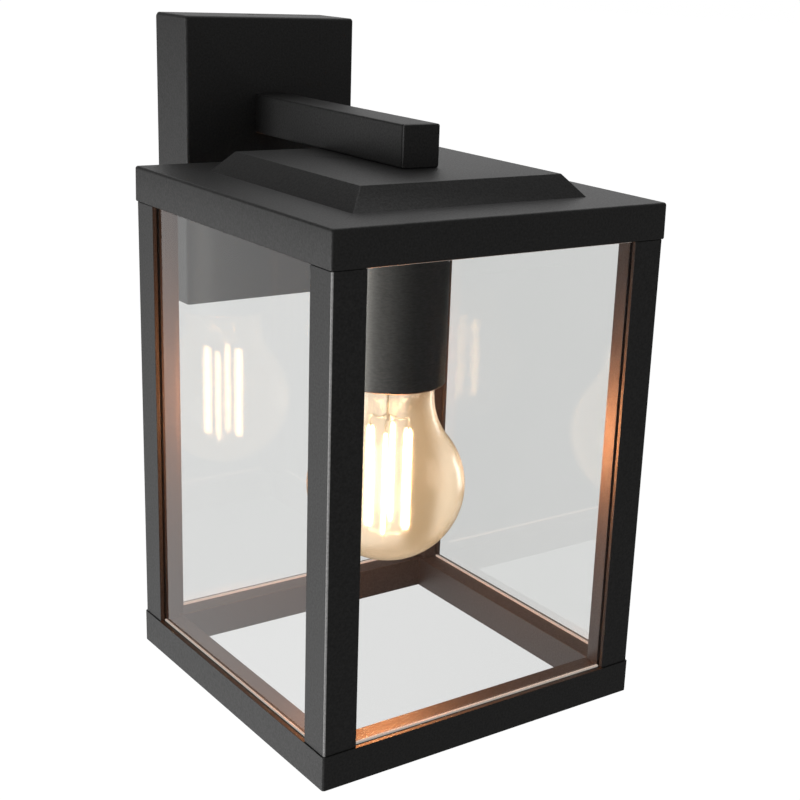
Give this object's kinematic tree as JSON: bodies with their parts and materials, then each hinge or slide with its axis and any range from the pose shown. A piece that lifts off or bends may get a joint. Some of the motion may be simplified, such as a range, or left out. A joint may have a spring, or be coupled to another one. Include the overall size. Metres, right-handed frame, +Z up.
{
  "type": "outdoor wall lantern",
  "caption": "Square glazed wall lantern in black powder-coated metal: cage with open base hangs from an arm on a rectangular wall plate, amber filament lamp in a tubular holder.",
  "frame": {"origin": "centre of the wall plate on the wall plane, at the back face of the mounting bracket", "axes": "+Y points into the wall, the lantern stands out towards -Y, +Z is up, +X is to the right seen from the front"},
  "size_m": [0.145, 0.1945, 0.256],
  "materials": {
    "black_coat": "fine textured matt powder coat, black",
    "zinc_steel": "bright zinc plate",
    "black_rubber": "matt",
    "pale_silicone": "satin",
    "brass": "satin",
    "tinned_metal": "tinned",
    "aluminium": "milled",
    "ivory_plastic": "moulded",
    "black_plastic": "moulded",
    "white_ceramic": "unglazed",
    "clear_glass": "clear float glass",
    "amber_glass": "amber lacquered, clear",
    "lamp_stem_glass": "clear",
    "dark_glass": "glossy",
    "nickel_cap": "nickel plate",
    "glowing_filament": "phosphor strip, lit",
    "brown_wire": "wire insulation",
    "blue_wire": "wire insulation",
    "green_yellow_wire": "wire insulation"
  },
  "bodies": {
    "lantern": {"mounting_bracket": "zinc_steel", "wall_gasket": "black_rubber", "wall_plate": "black_coat", "cover_screws": "black_coat", "earth_screw": "brass", "earth_lug": "tinned_metal", "terminal_block": "ivory_plastic", "terminal_inserts": "brass", "terminal_screws": "zinc_steel", "block_screw": "zinc_steel", "arm": "black_coat", "arm_end_cap": "black_coat", "arm_thread_blocks": "aluminium", "plate_nipple": "zinc_steel", "roof_nipple": "zinc_steel", "nipple_nuts": "zinc_steel", "nipple_washers": "zinc_steel", "roof_seal": "black_rubber", "roof": "black_coat", "ceiling_plate": "black_coat", "ceiling_screws": "black_coat", "post_screws": "zinc_steel", "corner_post_front_left": "black_coat", "corner_post_front_right": "black_coat", "corner_post_rear_left": "black_coat", "corner_post_rear_right": "black_coat", "base_ring": "black_coat", "base_screws": "zinc_steel", "glass_front": "clear_glass", "glass_rear": "clear_glass", "glass_left": "clear_glass", "glass_right": "clear_glass", "glass_seals": "pale_silicone", "lampholder_sleeve": "black_coat", "lampholder_dome": "black_plastic", "lampholder_skirt": "black_plastic", "lampholder_insert": "white_ceramic", "lampholder_shell": "brass", "lampholder_contact": "brass", "lampholder_terminals": "brass", "wire_live": "brown_wire", "wire_neutral": "blue_wire", "wire_earth": "green_yellow_wire"},
    "lamp_carrier": {"bulb_contact": "tinned_metal"},
    "lamp": {"bulb_glass": "amber_glass", "bulb_cap": "nickel_cap", "bulb_insulator": "dark_glass", "bulb_stem": "lamp_stem_glass", "bulb_filaments": "glowing_filament", "filament_supports": "nickel_cap"}
  },
  "joints": [
    {"name": "lamp_drop", "type": "slide", "parent": "lantern", "child": "lamp_carrier", "axis": [0, 0, -1], "range_m": [0, 0.0182]},
    {"name": "lamp_turn", "type": "hinge", "parent": "lamp_carrier", "child": "lamp", "pos_m": [0, -0.122, -0.1154], "axis": [0, 0, -1], "range_deg": [0, 1800]}
  ],
  "couplings": [
    {"joint": "lamp_drop", "follows": "lamp_turn", "m_per_rad": 0.00057614}
  ]
}
